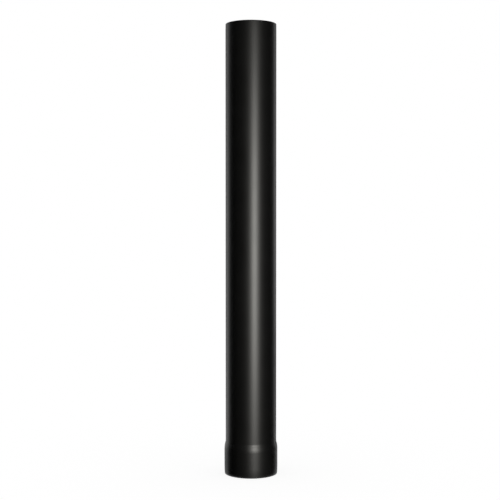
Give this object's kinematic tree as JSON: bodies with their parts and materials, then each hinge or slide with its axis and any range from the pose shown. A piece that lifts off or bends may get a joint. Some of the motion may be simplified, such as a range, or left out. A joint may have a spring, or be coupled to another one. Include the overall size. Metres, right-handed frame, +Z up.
{
  "type": "flue pipe",
  "caption": "Straight single-wall flue pipe of black coated steel, swaged out at its lower end into a socket that takes the plain end of the next pipe.",
  "frame": {"origin": "centre of the socket's mouth, on the surface that the pipe stands on", "axes": "+Z up the pipe's axis, from the socket to the plain end; +Y towards the weld at the back"},
  "size_m": [0.1185, 0.1187, 1],
  "materials": {
    "black_coating": "satin to matt black heat-proof coating with a fine even grain"
  },
  "bodies": {
    "root": {"flue_pipe": "black_coating"}
  },
  "joints": []
}
